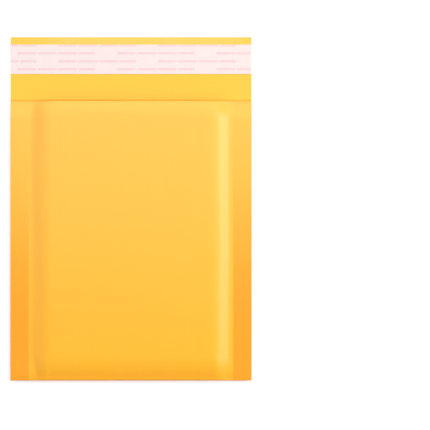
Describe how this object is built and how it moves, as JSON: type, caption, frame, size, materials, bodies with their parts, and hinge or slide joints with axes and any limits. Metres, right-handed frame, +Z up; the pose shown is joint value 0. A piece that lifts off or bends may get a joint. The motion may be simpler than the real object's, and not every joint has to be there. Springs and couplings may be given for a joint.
{
  "type": "padded envelope",
  "caption": "Kraft padded mailing envelope with welded bubble lining, lying open with its self-seal flap and peel-off backing.",
  "frame": {"origin": "on the surface that the envelope lies on, under the middle of its width and of its length from the bottom fold to the tip of the open flap", "axes": "+X across the envelope, +Y from the bottom fold towards the tip of the flap, +Z up, away from the surface that it lies on"},
  "size_m": [0.184, 0.262, 0.0097],
  "materials": {
    "kraft_paper": "golden kraft paper, smooth and slightly calendered, with fine fibres",
    "bubble_film": "clear polyethylene bubble film, slightly milky",
    "hot_melt_glue": "pale amber hot-melt glue",
    "release_paper": "white silicone release paper with a small pink print in rows"
  },
  "bodies": {
    "root": {"kraft_envelope": "kraft_paper", "bubble_lining": "bubble_film", "adhesive_strip": "hot_melt_glue", "release_backing": "release_paper"}
  },
  "joints": []
}
